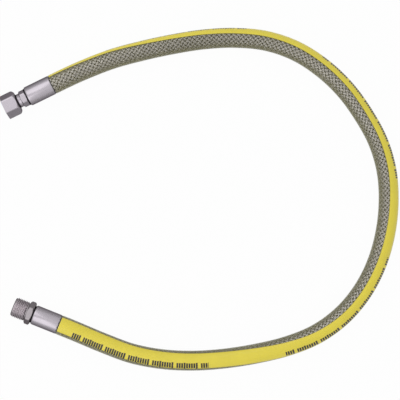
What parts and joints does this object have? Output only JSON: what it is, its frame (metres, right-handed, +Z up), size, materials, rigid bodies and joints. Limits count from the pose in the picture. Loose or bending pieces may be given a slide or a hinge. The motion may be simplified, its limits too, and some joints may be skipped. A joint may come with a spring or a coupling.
{
  "type": "braided gas hose",
  "caption": "Flexible gas hose with a clear jacket over steel braid, a lengthwise yellow stripe, a swivel nut on one end and a male pipe thread on the other, laid in a loop.",
  "frame": {"origin": "middle of the footprint of the two end fittings, on the surface the hose lies on", "axes": "+Z up from the surface; +Y from the male end's side towards the swivel end's side; +X from the fittings towards the far side of the loop"},
  "size_m": [0.415, 0.3562, 0.023],
  "materials": {
    "jacket_clear": "clear gloss",
    "braid_steel": "bright drawn wire",
    "liner_steel": "satin",
    "fitting_steel": "plated, semi-bright",
    "thread_steel": "plated, semi-bright",
    "rubber_black": "matt",
    "gasket_rubber": "matt"
  },
  "bodies": {
    "hose": {"hose_jacket": "jacket_clear", "wire_braid": "braid_steel", "corrugated_liner": "liner_steel", "swivel_seal": "rubber_black", "swivel_ferrule": "fitting_steel", "swivel_weld_ring": "liner_steel", "swivel_tail": "fitting_steel", "male_seal": "rubber_black", "male_ferrule": "fitting_steel", "male_weld_ring": "liner_steel", "male_fitting": "thread_steel"},
    "gasket": {"seat_gasket": "gasket_rubber"},
    "nut": {"swivel_nut": "fitting_steel"}
  },
  "joints": [
    {"name": "nut_slide", "type": "slide", "parent": "hose", "child": "gasket", "axis": [0.898, 0.4399, 0], "range_m": [0, 0.0035]},
    {"name": "nut_spin", "type": "hinge", "parent": "gasket", "child": "nut", "pos_m": [-0.02067, 0.10409, 0.0115], "axis": [-0.898, -0.4399, 0], "continuous": true}
  ]
}
